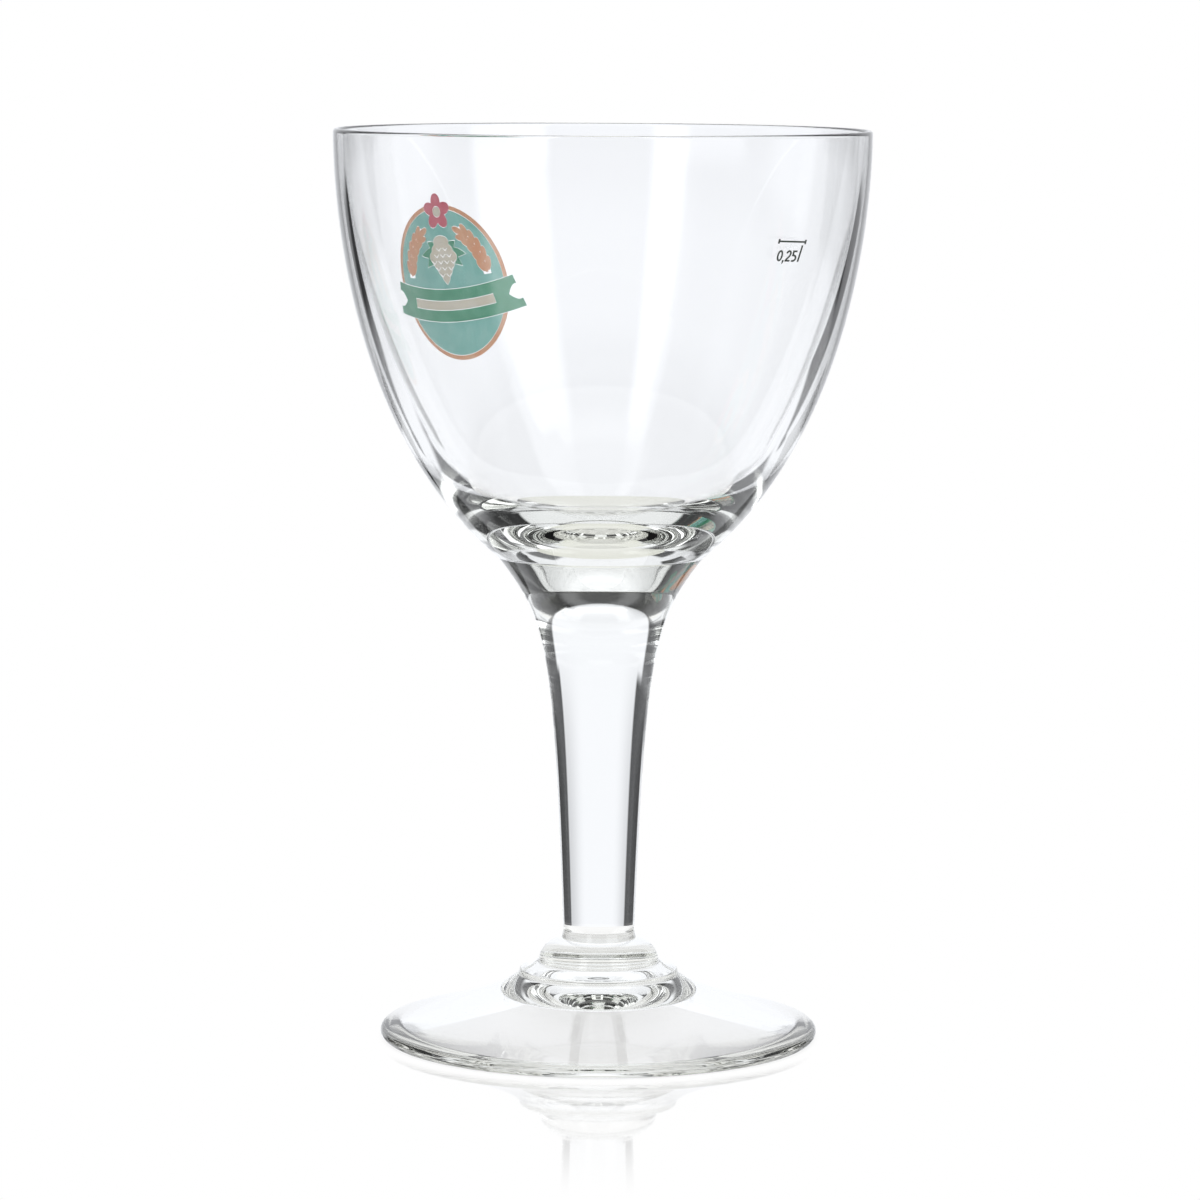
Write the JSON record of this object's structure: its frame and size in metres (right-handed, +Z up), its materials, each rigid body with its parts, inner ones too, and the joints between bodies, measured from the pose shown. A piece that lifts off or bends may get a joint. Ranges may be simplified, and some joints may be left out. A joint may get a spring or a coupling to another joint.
{
  "type": "beer goblet",
  "caption": "Stemmed beer goblet in clear glass with a deep rounded bowl, slim tapering stem and round foot, a printed fill mark and a small coloured emblem.",
  "frame": {"origin": "on the goblet's axis, in the plane of the table under the foot", "axes": "+Z up along the goblet's axis; the fill mark is on the side of +X and -Y, the emblem on the side of -X and +Y"},
  "size_m": [0.1028, 0.1028, 0.1754],
  "materials": {
    "clear_glass": "polished",
    "dark_ink": "satin",
    "teal_enamel": "gloss",
    "gold_enamel": "gloss",
    "cream_enamel": "gloss",
    "green_enamel": "gloss",
    "rose_enamel": "gloss"
  },
  "bodies": {
    "root": {"bowl": "clear_glass", "stem": "clear_glass", "foot": "clear_glass", "fill_line": "dark_ink", "fill_digit_0": "dark_ink", "fill_comma": "dark_ink", "fill_digit_2": "dark_ink", "fill_digit_5": "dark_ink", "fill_litre": "dark_ink", "emblem_ground_lower": "teal_enamel", "emblem_ground_upper": "teal_enamel", "emblem_ring_lower": "gold_enamel", "emblem_ring_left": "gold_enamel", "emblem_ring_right": "gold_enamel", "emblem_barley_left": "gold_enamel", "emblem_barley_right": "gold_enamel", "emblem_hop_cone": "cream_enamel", "emblem_ribbon_stripe": "cream_enamel", "emblem_rosette_eye": "cream_enamel", "emblem_leaf_left": "green_enamel", "emblem_leaf_right": "green_enamel", "emblem_ribbon": "green_enamel", "emblem_rosette": "rose_enamel"}
  },
  "joints": []
}
